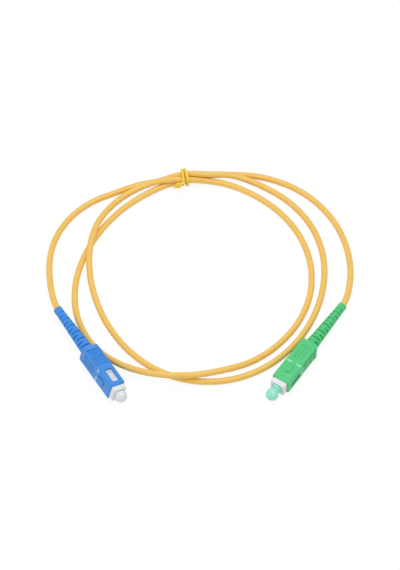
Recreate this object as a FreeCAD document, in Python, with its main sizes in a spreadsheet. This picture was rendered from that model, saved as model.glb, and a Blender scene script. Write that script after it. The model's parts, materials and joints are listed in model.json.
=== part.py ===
"""Fiber optic patch cord: a 3 mm simplex cord in two tied turns with a push-pull connector at each end.

Frame: +Z up, origin on the floor under the middle of the lying cord, millimetres.
Each connector is modelled along its own X axis, +X towards the ferrule tip, with X = 0 at the front
face of the grip, Y across its wide faces and Z towards the key, and is then laid in its place.
End a is the blue one, rolled onto an edge, and end b the green one, lying flat.
"""
import FreeCAD, Part
import os
import re
import Sketcher
from math import cos, pi, radians, sin, sqrt, tan
from FreeCAD import Placement, Rotation, Vector

doc = FreeCAD.newDocument("patch_cord")

# Driving dimensions, in millimetres and degrees
SIZES = [
    # cord layers
    ("jacket_diameter", 3.0), ("jacket_bore", 2.0), ("yarn_diameter", 1.8), ("yarn_bore", 1.1),
    ("fibre_diameter", 0.9),
    # clearances between pieces, each on one side
    ("slide_gap", 0.08), ("bond_gap", 0.01), ("cap_gap", 0.06), ("cord_gap", 0.15), ("seat_gap", 0.05),
    # sliding grip
    ("grip_width", 9.0), ("grip_height", 7.4), ("grip_corner", 0.8), ("stop_gap", 0.4),
    ("grip_rear_bore", 6.6), ("grip_rear_wall", 5.6), ("waist_front", 11.5), ("waist_length", 11.0),
    ("waist_ramp", 1.2), ("waist_depth", 0.3), ("shoulder_cut_length", 1.6), ("shoulder_cut_depth", 0.9),
    ("lip_cut_length", 0.9), ("lip_cut_depth", 0.5),
    ("window_front", 2.1), ("window_length", 7.5), ("window_height", 3.5),
    ("key_front", 5.3), ("key_length", 4.5), ("key_width", 2.0), ("key_height", 0.7),
    ("rib_front", 13.0), ("rib_pitch", 1.1), ("rib_width", 0.5), ("rib_depth", 0.25), ("rib_count", 9),
    ("flute_front", 14.0), ("flute_length", 8.2), ("flute_width", 0.6), ("flute_pitch", 1.7),
    ("flute_count", 3),
    # plug frame
    ("frame_length", 21.5), ("frame_reach", 2.3), ("frame_width", 7.04), ("frame_height", 6.29),
    ("frame_corner", 0.4), ("cavity_bore", 5.4), ("cavity_depth", 5.3), ("frame_wall", 1.6),
    ("frame_rear_bore", 5.0), ("latch_front", 2.6), ("latch_length", 6.0), ("latch_depth", 0.65),
    ("latch_height", 3.0),
    # ferrule, flange and spring
    ("ferrule_diameter", 2.5), ("ferrule_length", 10.5), ("ferrule_reach", 4.2), ("ferrule_bevel", 0.4),
    ("polish_angle", 8.0), ("boss_diameter", 3.3), ("boss_length", 1.0), ("collar_diameter", 4.6),
    ("collar_length", 2.0), ("stem_diameter", 2.2), ("stem_bore", 1.1), ("stem_room", 1.55),
    ("spring_diameter", 4.2), ("spring_wire", 0.45), ("spring_turns", 6), ("fibre_room", 2.2),
    # back post, crimp sleeve and boot
    ("plug_length", 4.6), ("shoulder_diameter", 6.0), ("shoulder_length", 1.2), ("barrel_diameter", 3.4),
    ("barrel_length", 4.1), ("knurl_depth", 0.12), ("knurl_width", 0.3), ("knurl_pitch", 0.7),
    ("knurl_count", 5), ("post_bore", 1.3), ("stem_gap", 0.2), ("socket_depth", 3.1),
    ("yarn_ring", 0.3), ("jacket_setback", 1.9), ("sleeve_wall", 0.35), ("sleeve_grip", 2.2),
    ("boot_room", 1.1), ("boot_end", 52.6), ("boot_front_diameter", 6.1), ("boot_tail_diameter", 4.1),
    ("boot_tail_length", 3.2), ("slot_width", 0.8), ("slot_pitch", 2.2), ("slot_pairs", 5),
    ("slot_sweep", 130.0),
    # dust cap, pushed further over the ferrule at end a
    ("cap_diameter", 5.2), ("cap_length", 6.5), ("cap_barrel", 3.4), ("cap_neck_diameter", 4.2),
    ("cap_ball_diameter", 5.8), ("cap_bore_depth", 7.4), ("cap_reach_a", 3.6), ("cap_reach_b", 6.4),
    # where the connectors lie, by the front face of each grip
    ("nose_a_east", -37.33), ("nose_a_north", -60.83), ("heading_a", -57.6), ("roll_a", 73.0),
    ("nose_b_east", 35.94), ("nose_b_north", -56.69), ("heading_b", -124.6), ("roll_b", 0.0),
    # coil and tie
    ("strand_pitch", 3.5), ("hump_height", 5.05), ("first_run", 9.6),
    ("tie_east", -7.0), ("tie_north", 61.6), ("bundle_height", 5.1), ("bundle_heading", 9.0),
    ("tie_diameter", 1.4), ("tie_wire_diameter", 0.5), ("tie_gap", 0.12), ("tie_twist_radius", 1.0),
]
sheet = doc.addObject("Spreadsheet::Sheet", "Sizes")
for row, (alias, value) in enumerate(SIZES, start=1):
    sheet.set("A%d" % row, alias)
    sheet.set("B%d" % row, str(value))
    sheet.setAlias("B%d" % row, alias)
doc.recompute()
size = {alias: sheet.get(alias) for alias, value in SIZES}

# Stations along a connector's axis, as expressions of the sizes
FRAME_BACK = "frame_reach - frame_length"
CAVITY_FLOOR = "frame_reach - cavity_depth"
SEAT = "frame_reach - cavity_depth - frame_wall"
COLLAR_FRONT = SEAT + " - seat_gap"
COLLAR_BACK = COLLAR_FRONT + " - collar_length"
FERRULE_BACK = "ferrule_reach - ferrule_length"
POST_FRONT = FRAME_BACK + " + plug_length"
STEM_BACK = POST_FRONT + " - socket_depth + stem_room"
POCKET_BACK = FRAME_BACK + " - stop_gap"
GRIP_BACK = POCKET_BACK + " - grip_rear_wall"
SHOULDER_BACK = FRAME_BACK + " - shoulder_length"
BOOT_FRONT = SHOULDER_BACK + " - boot_room"
BARREL_BACK = SHOULDER_BACK + " - barrel_length"
JACKET_FRONT = BARREL_BACK + " - jacket_setback"
SLEEVE_STEP = JACKET_FRONT + " + sleeve_wall"
SLEEVE_BACK = JACKET_FRONT + " - sleeve_grip"
YARN_INNER = "barrel_diameter / 2 + seat_gap"
YARN_OUTER = YARN_INNER + " + yarn_ring"
SLEEVE_INNER = YARN_OUTER + " + seat_gap"
SLEEVE_OUTER = SLEEVE_INNER + " + sleeve_wall"
SLEEVE_GRIP_INNER = "jacket_diameter / 2 + seat_gap"
SLEEVE_GRIP_OUTER = SLEEVE_GRIP_INNER + " + sleeve_wall"
BOOT_BORE = "jacket_diameter / 2 + cord_gap"
# A cut that opens through a face starts this far outside it
PAST = "frame_wall"


def sheet_word(match):
    word = match.group()
    return "Sizes." + word if word in size else word


def fill(text):
    """Name the sheet before each size in an expression."""
    return re.sub(r"[a-z]\w*", sheet_word, text)


def station(text):
    """Value of a station: its sizes added and taken away from left to right."""
    total, sign = 0.0, 1
    for word in text.split():
        if word in "+-":
            sign = 1 if word == "+" else -1
        else:
            total += sign * size[word]
    return total


# Sketches and features
def new_body(label):
    body = doc.addObject("PartDesign::Body", label)
    body.Label = label
    return body


def new_sketch(body, name, plane):
    sketch = body.newObject("Sketcher::SketchObject", name)
    base = [item for item in body.Origin.OriginFeatures if item.Role == plane][0]
    sketch.AttachmentSupport = [(base, "")]
    sketch.MapMode = "FlatFace"
    return sketch


def hold(sketch, line, direction, text):
    """Hold the first end of a line at a distance from one axis of the sketch."""
    if text == "0":
        axis = -2 if direction == "DistanceX" else -1
        sketch.addConstraint(Sketcher.Constraint("PointOnObject", line, 1, axis))
        return
    index = sketch.addConstraint(Sketcher.Constraint(direction, -1, 1, line, 1, 1.0 + line))
    sketch.setExpression("Constraints[%d]" % index, fill(text))


def outline(sketch, corners):
    """Draw a closed outline whose corners are pairs of expressions."""
    count = len(corners)
    spots = [Vector(10 * cos(2 * pi * k / count), 10 * sin(2 * pi * k / count), 0) for k in range(count)]
    for k in range(count):
        sketch.addGeometry(Part.LineSegment(spots[k], spots[(k + 1) % count]), False)
    for k in range(count):
        sketch.addConstraint(Sketcher.Constraint("Coincident", k, 2, (k + 1) % count, 1))
    for k, (across, up) in enumerate(corners):
        hold(sketch, k, "DistanceX", across)
        hold(sketch, k, "DistanceY", up)


def rectangle(low_x, high_x, low_y, high_y):
    return [(low_x, low_y), (high_x, low_y), (high_x, high_y), (low_x, high_y)]


def add_feature(body, name, kind, plane, corners):
    sketch = new_sketch(body, name + "_outline", plane)
    outline(sketch, corners)
    feature = body.newObject(kind, name)
    feature.Profile = sketch
    return feature, sketch


def turn(body, name, corners, cut=False):
    """Turn an outline in the XZ plane round the X axis."""
    kind = "PartDesign::Groove" if cut else "PartDesign::Revolution"
    feature, sketch = add_feature(body, name, kind, "XZ_Plane", corners)
    feature.ReferenceAxis = (sketch, ["H_Axis"])
    feature.Angle = 360.0
    doc.recompute()
    return feature


def extrude(body, name, plane, corners, low, high, cut=False):
    """Pad or pocket an outline from one distance to another along the normal of its plane."""
    kind = "PartDesign::Pocket" if cut else "PartDesign::Pad"
    feature, sketch = add_feature(body, name, kind, plane, corners)
    sketch.setExpression("AttachmentOffset.Base.z", fill(low))
    feature.Reversed = cut
    feature.setExpression("Length", fill("(" + high + ") - (" + low + ")"))
    doc.recompute()
    return feature


def axis_of(body, role):
    return ([item for item in body.Origin.OriginFeatures if item.Role == role][0], [""])


def on_both_sides(body, name, feature):
    """Repeat a feature half a turn round the X axis."""
    pattern = body.newObject("PartDesign::PolarPattern", name)
    pattern.Originals = [feature]
    pattern.Axis = axis_of(body, "X_Axis")
    pattern.Angle = 360.0
    pattern.Occurrences = 2
    body.Tip = pattern
    doc.recompute()
    return pattern


def in_row(body, name, feature, axis, count, spacing, backwards=False, both_sides=True):
    """Repeat a feature along an axis and, if wanted, each copy half a turn round the X axis."""
    steps = []
    if both_sides:
        around = doc.addObject("PartDesign::PolarPattern", name + "_sides")
        around.Axis = axis_of(body, "X_Axis")
        around.Angle = 360.0
        around.Occurrences = 2
        steps.append(around)
    along = doc.addObject("PartDesign::LinearPattern", name + "_row")
    along.Direction = axis_of(body, axis)
    along.Reversed = backwards
    along.setExpression("Length", fill("(" + count + " - 1) * (" + spacing + ")"))
    along.setExpression("Occurrences", fill(count))
    steps.append(along)
    pattern = body.newObject("PartDesign::MultiTransform", name)
    pattern.Originals = [feature]
    pattern.Transformations = steps
    body.Tip = pattern
    doc.recompute()
    return pattern


def round_edges(body, name, feature, half_width, half_height, radius):
    """Round the lengthwise outer edges of a block."""
    names = []
    for number, edge in enumerate(feature.Shape.Edges, start=1):
        ends = [vertex.Point for vertex in edge.Vertexes]
        lengthwise = len(ends) == 2 and abs(ends[0].y - ends[1].y) + abs(ends[0].z - ends[1].z) < 1e-6
        outer = abs(ends[0].y) > half_width - 1e-6 and abs(ends[0].z) > half_height - 1e-6
        if lengthwise and outer:
            names.append("Edge%d" % number)
    fillet = body.newObject("PartDesign::Fillet", name)
    fillet.Base = (feature, names)
    fillet.setExpression("Radius", fill(radius))
    doc.recompute()
    return fillet


# Pieces of a connector
def make_ferrule(end):
    body = new_body("ferrule_" + end)
    radius, tip = "ferrule_diameter / 2", "ferrule_reach"
    turn(body, "rod_" + end, [(FERRULE_BACK, "0"), (tip, "0"), (tip, radius + " - ferrule_bevel"),
                              (tip + " - 2 * ferrule_bevel", radius), (FERRULE_BACK, radius)])
    if end == "b":
        slope = tip + " - ferrule_diameter * tan(polish_angle)"
        extrude(body, "angled_tip", "XZ_Plane",
                [(tip, "-1 * " + radius), (slope, radius), (tip + " + " + PAST, radius),
                 (tip + " + " + PAST, "-1 * " + radius)], "-1 * ferrule_diameter", "ferrule_diameter",
                cut=True)
    return body


def make_flange(end):
    body = new_body("ferrule_flange_" + end)
    bore, stem = "ferrule_diameter / 2 + bond_gap", "stem_bore / 2"
    back, front, rest = STEM_BACK, COLLAR_FRONT + " + boss_length", FERRULE_BACK + " - bond_gap"
    turn(body, "flange_turning_" + end, [
        (back, stem), (rest, stem), (rest, bore), (front, bore), (front, "boss_diameter / 2"),
        (COLLAR_FRONT, "boss_diameter / 2"), (COLLAR_FRONT, "collar_diameter / 2"),
        (COLLAR_BACK, "collar_diameter / 2"), (COLLAR_BACK, "stem_diameter / 2"),
        (back, "stem_diameter / 2")])
    return body


def make_frame(end):
    body = new_body("plug_frame_" + end)
    half_width, half_height = "frame_width / 2", "frame_height / 2"
    pad = extrude(body, "frame_block_" + end, "YZ_Plane",
                  rectangle("-1 * " + half_width, half_width, "-1 * " + half_height, half_height),
                  FRAME_BACK, "frame_reach")
    round_edges(body, "frame_edges_" + end, pad, size["frame_width"] / 2, size["frame_height"] / 2,
                "frame_corner")
    hole = "boss_diameter / 2 + cord_gap"
    behind, ahead = FRAME_BACK + " - " + PAST, "frame_reach + " + PAST
    turn(body, "frame_bore_" + end, [
        (behind, "0"), (ahead, "0"), (ahead, "cavity_bore / 2"), (CAVITY_FLOOR, "cavity_bore / 2"),
        (CAVITY_FLOOR, hole), (SEAT, hole), (SEAT, "frame_rear_bore / 2"), (behind, "frame_rear_bore / 2")],
        cut=True)
    ramp_back = "-1 * (latch_front + latch_length)"
    ramp = extrude(body, "latch_ramp_" + end, "XY_Plane",
                   [(ramp_back, half_width + " - latch_depth"), ("-1 * latch_front", half_width),
                    ("-1 * latch_front", half_width + " + " + PAST), (ramp_back, half_width + " + " + PAST)],
                   "-1 * latch_height / 2", "latch_height / 2", cut=True)
    on_both_sides(body, "latch_ramps_" + end, ramp)
    return body


def trim_sides(body, end, name, corners):
    """Cut an outline in the XY plane through both upright walls of the grip."""
    cut = extrude(body, name + "_" + end, "XY_Plane", corners, "-1 * grip_height", "grip_height", cut=True)
    on_both_sides(body, name + "_pair_" + end, cut)


def make_grip(end):
    body = new_body("grip_" + end)
    half_width, half_height = "grip_width / 2", "grip_height / 2"
    block = extrude(body, "grip_block_" + end, "YZ_Plane",
                    rectangle("-1 * " + half_width, half_width, "-1 * " + half_height, half_height),
                    GRIP_BACK, "0")
    round_edges(body, "grip_edges_" + end, block, size["grip_width"] / 2, size["grip_height"] / 2,
                "grip_corner")
    beside, waist = half_width + " + " + PAST, half_width + " - waist_depth"
    waist_back = "-1 * (waist_front + waist_length)"
    trim_sides(body, end, "waist", [
        ("-1 * waist_front", half_width), ("-1 * (waist_front + waist_ramp)", waist),
        (waist_back + " + waist_ramp", waist), (waist_back, half_width), (waist_back, beside),
        ("-1 * waist_front", beside)])
    behind = GRIP_BACK + " - " + PAST
    shoulder, shoulder_front = half_width + " - shoulder_cut_depth", GRIP_BACK + " + shoulder_cut_length"
    trim_sides(body, end, "shoulder", [
        (shoulder_front, half_width), (GRIP_BACK, shoulder), (behind, shoulder), (behind, beside),
        (shoulder_front, beside)])
    lip = half_width + " - lip_cut_depth"
    trim_sides(body, end, "lip", [
        ("-1 * lip_cut_length", half_width), ("0", lip), (PAST, lip), (PAST, beside),
        ("-1 * lip_cut_length", beside)])
    extrude(body, "key_" + end, "XY_Plane",
            rectangle("-1 * (key_front + key_length)", "-1 * key_front", "-1 * key_width / 2",
                      "key_width / 2"),
            half_height + " - key_height", half_height + " + key_height")
    inner_width, inner_height = "frame_width / 2 + slide_gap", "frame_height / 2 + slide_gap"
    extrude(body, "frame_pocket_" + end, "YZ_Plane",
            rectangle("-1 * (" + inner_width + ")", inner_width, "-1 * (" + inner_height + ")",
                      inner_height), POCKET_BACK, PAST, cut=True)
    turn(body, "rear_opening_" + end,
         rectangle(behind, POCKET_BACK + " + " + PAST, "0", "grip_rear_bore / 2"), cut=True)
    extrude(body, "windows_" + end, "XZ_Plane",
            rectangle("-1 * (window_front + window_length)", "-1 * window_front",
                      "-1 * window_height / 2", "window_height / 2"),
            "-1 * grip_width", "grip_width", cut=True)
    rib = extrude(body, "rib_groove_" + end, "XZ_Plane",
                  rectangle("-1 * (rib_front + rib_width)", "-1 * rib_front", "-1 * grip_height",
                            "grip_height"),
                  half_width + " - waist_depth - rib_depth", "grip_width", cut=True)
    in_row(body, "rib_grooves_" + end, rib, "X_Axis", "rib_count", "rib_pitch", backwards=True)
    flute_low = "-1 * flute_pitch * (flute_count - 1) / 2 - flute_width / 2"
    flute = extrude(body, "flute_" + end, "XY_Plane",
                    rectangle("-1 * (flute_front + flute_length)", "-1 * flute_front", flute_low,
                              flute_low + " + flute_width"),
                    half_height + " - rib_depth", "grip_height", cut=True)
    in_row(body, "flutes_" + end, flute, "Y_Axis", "flute_count", "flute_pitch")
    return body


def make_post(end):
    body = new_body("back_post_" + end)
    plug, bore = "frame_rear_bore / 2 - bond_gap", "post_bore / 2"
    socket, floor = "stem_diameter / 2 + stem_gap", POST_FRONT + " - socket_depth"
    turn(body, "post_turning_" + end, [
        (BARREL_BACK, bore), (floor, bore), (floor, socket), (POST_FRONT, socket), (POST_FRONT, plug),
        (FRAME_BACK, plug), (FRAME_BACK, "shoulder_diameter / 2"), (SHOULDER_BACK, "shoulder_diameter / 2"),
        (SHOULDER_BACK, "barrel_diameter / 2"), (BARREL_BACK, "barrel_diameter / 2")])
    first = BARREL_BACK + " + knurl_width"
    groove = turn(body, "knurl_groove_" + end,
                  rectangle(first, first + " + knurl_width", "barrel_diameter / 2 - knurl_depth",
                            "barrel_diameter / 2 + knurl_depth"), cut=True)
    in_row(body, "knurl_" + end, groove, "X_Axis", "knurl_count", "knurl_pitch", both_sides=False)
    return body


def make_sleeve(end):
    body = new_body("crimp_sleeve_" + end)
    front = SHOULDER_BACK + " - yarn_ring"
    inner_step = SLEEVE_STEP + " + sleeve_wall"
    turn(body, "sleeve_turning_" + end, [
        (front, SLEEVE_INNER), (front, SLEEVE_OUTER), (SLEEVE_STEP, SLEEVE_OUTER),
        (SLEEVE_STEP, SLEEVE_GRIP_OUTER), (SLEEVE_BACK, SLEEVE_GRIP_OUTER),
        (SLEEVE_BACK, SLEEVE_GRIP_INNER), (inner_step, SLEEVE_GRIP_INNER), (inner_step, SLEEVE_INNER)])
    return body


def make_boot(end):
    """Strain relief whose wall is cut through by rows of part-ring slots, each row turned 90 degrees."""
    body = new_body("boot_" + end)
    front, back = BOOT_FRONT, "-1 * boot_end"
    tail, nose = "boot_tail_diameter / 2", "boot_front_diameter / 2"
    turn(body, "boot_moulding_" + end, [
        (back, BOOT_BORE), (back, tail), (back + " + boot_tail_length", tail), (GRIP_BACK, nose),
        (front, nose), (front, SLEEVE_OUTER + " + seat_gap"),
        (SLEEVE_STEP + " - seat_gap", SLEEVE_OUTER + " + seat_gap"),
        (SLEEVE_STEP + " - seat_gap", SLEEVE_GRIP_OUTER + " + seat_gap"),
        (SLEEVE_BACK + " - seat_gap", SLEEVE_GRIP_OUTER + " + seat_gap"),
        (SLEEVE_BACK + " - seat_gap", BOOT_BORE)])
    low, high = BOOT_BORE + " - cord_gap / 2", "boot_front_diameter"
    rows = (("upright", back + " + boot_tail_length", "slot_pairs + 1", "XZ_Plane"),
            ("level", back + " + boot_tail_length + slot_pitch", "slot_pairs", "XY_Plane"))
    for name, start, count, plane in rows:
        corners = rectangle(start, start + " + slot_width", low, high)
        slot, sketch = add_feature(body, name + "_slot_" + end, "PartDesign::Groove", plane, corners)
        slot.ReferenceAxis = (sketch, ["H_Axis"])
        slot.Midplane = True
        slot.setExpression("Angle", fill("slot_sweep"))
        doc.recompute()
        in_row(body, name + "_slots_" + end, slot, "X_Axis", count, "2 * slot_pitch")
    return body


def make_cap(end):
    body = new_body("dust_cap_" + end)
    centre = "cap_reach_" + end
    back = centre + " - cap_length"
    turn(body, "cap_stem_" + end, [
        (back, "0"), (centre, "0"), (centre, "cap_neck_diameter / 2"),
        (back + " + cap_barrel", "cap_neck_diameter / 2"), (back + " + cap_barrel", "cap_diameter / 2"),
        (back, "cap_diameter / 2")])
    ball = body.newObject("PartDesign::AdditiveSphere", "cap_ball_" + end)
    ball.setExpression("Radius", fill("cap_ball_diameter / 2"))
    ball.setExpression("Placement.Base.x", fill(centre))
    turn(body, "cap_bore_" + end,
         rectangle(back + " - " + PAST, back + " + cap_bore_depth", "0", "ferrule_diameter / 2 + cap_gap"),
         cut=True)
    return body


# Paths of round sections: straight runs and arcs. An arc takes this share of the shorter run beside it.
# Gaps are measured on points this far apart, between stretches that many diameters apart along the path.
ARC_SHARE = 0.45
GAP_STEP = 0.7
APART_DIAMETERS = 4.5


def bend(start, corner, end):
    """Edge that leaves start and reaches end along the two equal legs of a corner."""
    half = (corner - start).getAngle(end - corner) / 2
    if half < 1e-4:
        return Part.LineSegment(start, end).toShape()
    chord = (start + end) * 0.5
    middle = chord + (corner - chord) * (tan(half / 2) / tan(half))
    return Part.Arc(start, middle, end).toShape()


def biarc(start, start_way, end, end_way):
    """Two arcs that join smoothly and keep the directions at both ends."""
    span = end - start
    square = 2 * (1 - start_way.dot(end_way))
    linear = 2 * span.dot(start_way + end_way)
    leg = span.dot(span) * 2 / (linear + sqrt(linear * linear + 4 * square * span.dot(span)))
    first, last = start + start_way * leg, end - end_way * leg
    joint = (first + last) * 0.5
    return [bend(start, first, joint), bend(joint, last, end)]


def smooth_way(corners, in_turns):
    """Wire along a list of corners: biarcs in the turns, elsewhere straight runs joined by arcs."""
    edges = []
    here = corners[0]
    for k in range(1, len(corners) - 1):
        run_in, run_out = corners[k] - corners[k - 1], corners[k + 1] - corners[k]
        way_in, way_out = Vector(run_in).normalize(), Vector(run_out).normalize()
        if k in in_turns:
            start, end = corners[k - 1] + run_in * 0.5, corners[k] + run_out * 0.5
            curve = biarc(start, way_in, end, way_out)
        else:
            leg = ARC_SHARE * min(run_in.Length, run_out.Length)
            start, end = corners[k] - way_in * leg, corners[k] + way_out * leg
            curve = [bend(start, corners[k], end)]
        if (start - here).Length > 1e-6:
            edges.append(Part.LineSegment(here, start).toShape())
        edges += curve
        here = end
    if (corners[-1] - here).Length > 1e-6:
        edges.append(Part.LineSegment(here, corners[-1]).toShape())
    return Part.Wire(edges)


def swept(wire, diameter):
    """Round solid along a wire."""
    first = wire.OrderedEdges[0]
    start = first.valueAt(first.FirstParameter)
    way = first.tangentAt(first.FirstParameter)
    if first.Orientation == "Reversed":
        start, way = first.valueAt(first.LastParameter), -first.tangentAt(first.LastParameter)
    ring = Part.Wire([Part.Circle(start, way, diameter / 2).toShape()])
    return wire.makePipeShell([ring], True, False)


def tube(wire, diameter, bore):
    return swept(wire, diameter).cut(swept(wire, bore))


def least_gap(wire, diameter, apart):
    """Least gap of a tube to itself, between points that are further apart than a given length."""
    spots = wire.discretize(Number=int(wire.Length / GAP_STEP))
    reach = int(apart / GAP_STEP) + 1
    nearest = wire.Length
    for k, spot in enumerate(spots):
        for other in spots[k + reach:]:
            nearest = min(nearest, (spot - other).Length)
    return nearest - diameter


def least_radius(wire):
    return min(edge.Curve.Radius for edge in wire.Edges if edge.Curve.TypeId == "Part::GeomCircle")


def add_shape(label, shape, place=None):
    feature = doc.addObject("Part::Feature", label)
    feature.Label = label
    feature.Shape = shape
    if place:
        feature.Placement = place
    return feature


def make_spring(end, place):
    """Compression spring between the flange's collar and the back post, as one wire on biarcs."""
    radius = (size["spring_diameter"] - size["spring_wire"]) / 2
    front = station(COLLAR_BACK) - size["seat_gap"] - size["spring_wire"] / 2
    back = station(POST_FRONT) + size["seat_gap"] + size["spring_wire"] / 2
    quarters = int(4 * size["spring_turns"])
    rise = (front - back) / quarters
    slope = Vector(rise, 0, 0)
    edges = []
    for k in range(quarters):
        ends = []
        for quarter in (k, k + 1):
            angle = quarter * pi / 2
            spot = Vector(back + rise * quarter, radius * cos(angle), radius * sin(angle))
            way = Vector(0, -sin(angle), cos(angle)) * (radius * pi / 2) + slope
            ends.append((spot, way.normalize()))
        edges += biarc(ends[0][0], ends[0][1], ends[1][0], ends[1][1])
    wire = Part.Wire(edges)
    pitch = 4 * rise
    gap = least_gap(wire, size["spring_wire"], pitch + radius)
    print("spring_%s pitch %.2f, least gap between coils %.2f" % (end, pitch, gap))
    return add_shape("spring_" + end, swept(wire, size["spring_wire"]), place)


# Where the connectors lie
def lying_place(end):
    """Place of a connector, with the lowest edge of its grip on the floor."""
    roll = radians(size["roll_" + end])
    corner = size["grip_corner"]
    reach = size["grip_width"] / 2 - corner
    height = reach * sin(roll) + (size["grip_height"] / 2 - corner) * cos(roll) + corner
    heading = Rotation(Vector(0, 0, 1), size["heading_" + end])
    turned = Rotation(Vector(1, 0, 0), size["roll_" + end])
    spot = Vector(size["nose_%s_east" % end], size["nose_%s_north" % end], height)
    return Placement(spot, heading * turned)


def on_axis(end, along):
    return places[end].multVec(Vector(along, 0, 0))


# The cord's route. The tails are chosen by hand, from each boot to the tie, and so are the few places
# beside the tie. The two turns lie on ovals, run clockwise and rise over the strand that they cross.
TAIL_A = [(-70.4, 2.8, 4.0), (-71.3, 14.0, 2.2), (-68.8, 27.6, 1.5), (-62.2, 40.5, 1.5),
          (-51.3, 50.1, 1.5), (-40.7, 55.1, 1.5), (-30.1, 59.9, 1.6)]
TAIL_B = [(15.4, 66.4, 1.5), (27.9, 65.5, 1.5), (40.9, 61.0, 1.5), (53.3, 52.5, 1.5), (63.0, 40.1, 1.5),
          (68.7, 26.6, 1.5), (71.0, 15.1, 1.7), (71.4, 5.2, 2.6)]
OUTER_TURN_START = (15.5, 64.1, 4.5)
OUTER_TURN_END = (-29.8, 56.6, 3.5)
INNER_TURN_START = (15.2, 59.9, 1.6)
# Along the bundle from the tie, how far the three strands have turned about each other, and how high
# the middle of the bundle is. The strands start from these places round the bundle.
GATHER = [(-12.5, 0.0, 3.6), (-5.0, 42.0, 5.0), (3.0, 84.0, 5.1), (10.5, 124.0, 3.9)]
STRAND_PLACES = (-30.0, 90.0, 210.0)
# Share of the corners' radius at which the smooth path passes through the bundle
GATHER_SHARE = 0.93
# Each turn: centre and mean radius, how far it is drawn out to two opposite sides and to three, each
# with a heading, the first and last heading of its corners from the centre, and where it lies over the
# other strand, by the heading in the middle and the number of steps to either side that are level
OUTER_TURN = dict(centre=(3.08, 7.6), mean=57.56, oval=(2.79, -81.0), egg=(1.42, 26.5),
                  first=63.0, last=-224.0, over=-200.0, level=0.8)
INNER_TURN = dict(centre=(-3.22, 3.34), mean=55.79, oval=(2.68, 54.4), egg=(1.04, -20.6),
                  first=55.5, last=-238.0, over=-97.0, level=1.2)
TURN_STEPS = 18


def turn_corners(centre, mean, oval, egg, first, last, over, level):
    """Corners of a turn, far enough outside its curve for the smooth path to lie on it."""
    corners = []
    step = (last - first) / TURN_STEPS
    outside = 1 / cos(radians(step / 2))
    floor = size["jacket_diameter"] / 2
    for k in range(TURN_STEPS + 1):
        heading = first + step * k
        two_sided = oval[0] * cos(radians(2 * (heading - oval[1])))
        three_sided = egg[0] * cos(radians(3 * (heading - egg[1])))
        radius = outside * (mean + two_sided + three_sided)
        east = centre[0] + radius * cos(radians(heading))
        north = centre[1] + radius * sin(radians(heading))
        lifted = max(0.0, min(1.0, level + 1 - abs((heading - over) / step)))
        corners.append((east, north, floor + (size["hump_height"] - floor) * lifted))
    return corners


def gathered(first_place):
    """Corners of one strand through the tie, where the three strands turn about each other."""
    corners = []
    heading = radians(size["bundle_heading"])
    radius = size["strand_pitch"] / sqrt(3) / GATHER_SHARE
    for along, turned, height in GATHER:
        side = radius * cos(radians(first_place + turned))
        rise = radius * sin(radians(first_place + turned))
        east = size["tie_east"] + along * cos(heading) - side * sin(heading)
        north = size["tie_north"] + along * sin(heading) + side * cos(heading)
        corners.append((east, north, height + rise))
    return corners


def boot_exit(end):
    """Points at the end of a boot and a little way behind it, on the connector's axis."""
    boot_end = -size["boot_end"]
    return [tuple(on_axis(end, boot_end)), tuple(on_axis(end, boot_end - size["first_run"]))]


def cord_route():
    """Corners from boot to boot, and the numbers of those on the curves of the turns."""
    first, second, third = [gathered(place) for place in STRAND_PLACES]
    stretches = [boot_exit("a") + TAIL_A + first + [OUTER_TURN_START], turn_corners(**OUTER_TURN),
                 [OUTER_TURN_END] + second + [INNER_TURN_START], turn_corners(**INNER_TURN),
                 third + TAIL_B + boot_exit("b")[::-1]]
    corners, on_curves = [], []
    for number, stretch in enumerate(stretches):
        if number in (1, 3):
            on_curves += range(len(corners) + 1, len(corners) + len(stretch) - 1)
        corners += [Vector(*corner) for corner in stretch]
    return corners, on_curves


def cord_wire(front):
    """Wire of the route, with the straight stretch inside each connector up to a station."""
    corners, on_curves = cord_route()
    way = smooth_way(corners, on_curves)
    inner_a = Part.LineSegment(on_axis("a", front), corners[0]).toShape()
    inner_b = Part.LineSegment(corners[-1], on_axis("b", front)).toShape()
    return way, Part.Wire([inner_a] + way.OrderedEdges + [inner_b])


def yarn_flare(end):
    """Yarn spread back over the barrel, joined to the yarn inside the jacket."""
    front, back = SHOULDER_BACK + " - yarn_ring", BARREL_BACK
    corners = [(station(front), value(YARN_INNER)), (station(front), value(YARN_OUTER)),
               (station(back), value(YARN_OUTER)), (station(JACKET_FRONT), size["yarn_diameter"] / 2),
               (station(JACKET_FRONT), size["yarn_bore"] / 2),
               (station(JACKET_FRONT) + size["yarn_ring"], size["yarn_bore"] / 2),
               (station(back) - size["seat_gap"], value(YARN_INNER))]
    points = [Vector(along, 0, radius) for along, radius in corners]
    face = Part.Face(Part.makePolygon(points + points[:1]))
    flare = face.revolve(Vector(0, 0, 0), Vector(1, 0, 0), 360)
    flare.Placement = places[end]
    return flare


def value(text):
    """Value of a radius: shares of sizes added from left to right."""
    total = 0.0
    for term in text.split(" + "):
        parts = term.split(" / ")
        total += size[parts[0]] / (float(parts[1]) if len(parts) > 1 else 1)
    return total


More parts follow.
